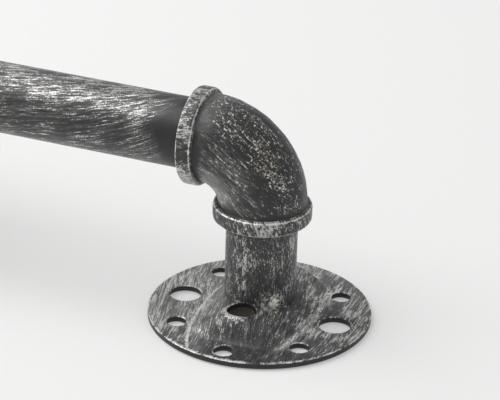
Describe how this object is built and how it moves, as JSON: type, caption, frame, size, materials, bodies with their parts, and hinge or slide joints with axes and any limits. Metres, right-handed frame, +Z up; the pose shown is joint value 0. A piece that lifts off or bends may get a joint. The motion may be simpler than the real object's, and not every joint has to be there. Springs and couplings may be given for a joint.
{
  "type": "wall sconce",
  "caption": "Pipe-style wall light: round pressed wall plate, welded stub, banded elbow and an upright arm that swivels and carries a screw-in lamp in a cast cup.",
  "frame": {"origin": "centre of the wall plate, on the wall's surface", "axes": "+Z up along the arm, -Y out of the wall along the stub, +X to the right as seen from the room"},
  "size_m": [0.084, 0.1012, 0.3865],
  "materials": {
    "brushed_iron": "charcoal paint dry-brushed with silver",
    "weld_metal": "rough weld bead, silvered",
    "block_plastic": "moulded, cream",
    "brass": "bright brass",
    "zinc_steel": "zinc plated",
    "flex_sheath": "black flex sheath",
    "live_sleeve": "brown insulation",
    "neutral_sleeve": "blue insulation",
    "earth_sleeve": "green and yellow insulation",
    "moulded_black": "black moulded phenolic",
    "ceramic_white": "glazed ceramic",
    "lamp_cap_metal": "nickel plated",
    "solder": "solder",
    "cap_glass": "black glass",
    "clear_glass": "clear glass",
    "light_strip": "yellow phosphor coating",
    "support_wire": "bright wire",
    "circuit_board": "solder-masked board"
  },
  "bodies": {
    "base": {"wall_plate": "brushed_iron", "stub_pipe": "brushed_iron", "foot_welds": "weld_metal", "terminal_block": "block_plastic", "terminal_tubes": "brass", "terminal_screws": "zinc_steel", "live_core_base": "live_sleeve", "neutral_core_base": "neutral_sleeve", "earth_core_base": "earth_sleeve", "flex_base": "flex_sheath"},
    "arm": {"elbow": "brushed_iron", "arm_pipe": "brushed_iron", "flex_arm": "flex_sheath", "lamp_cup": "brushed_iron", "holder_plate": "zinc_steel", "threaded_tube": "zinc_steel", "lock_nuts": "zinc_steel", "earth_tag": "brass", "earth_core_lamp": "earth_sleeve", "live_core_lamp": "live_sleeve", "neutral_core_lamp": "neutral_sleeve", "holder_cap": "moulded_black", "holder_grub_screw": "zinc_steel", "holder_insert": "ceramic_white", "holder_terminal_screws": "zinc_steel", "holder_skirt": "moulded_black", "screw_shell": "brass", "side_contact": "brass", "centre_contact": "brass"},
    "lamp_tip": {"bulb_tip": "solder"},
    "lamp": {"cap_insulator": "cap_glass", "bulb_cap": "lamp_cap_metal", "bulb_glass": "clear_glass", "bulb_stem": "clear_glass", "led_filaments": "light_strip", "filament_wires": "support_wire", "driver_board": "circuit_board"}
  },
  "joints": [
    {"name": "arm_swivel", "type": "hinge", "parent": "base", "child": "arm", "pos_m": [0, -0.0412, 0], "axis": [0, -1, 0], "range_deg": [-180, 180]},
    {"name": "lamp_travel", "type": "slide", "parent": "arm", "child": "lamp_tip", "axis": [0, 0, 1], "range_m": [0, 0.01452]},
    {"name": "lamp_turn", "type": "hinge", "parent": "lamp_tip", "child": "lamp", "pos_m": [0, -0.0692, 0.2045], "axis": [0, 0, 1], "range_deg": [0, 1440]}
  ],
  "couplings": [
    {"joint": "lamp_travel", "follows": "lamp_turn", "m_per_rad": 0.0005775}
  ]
}
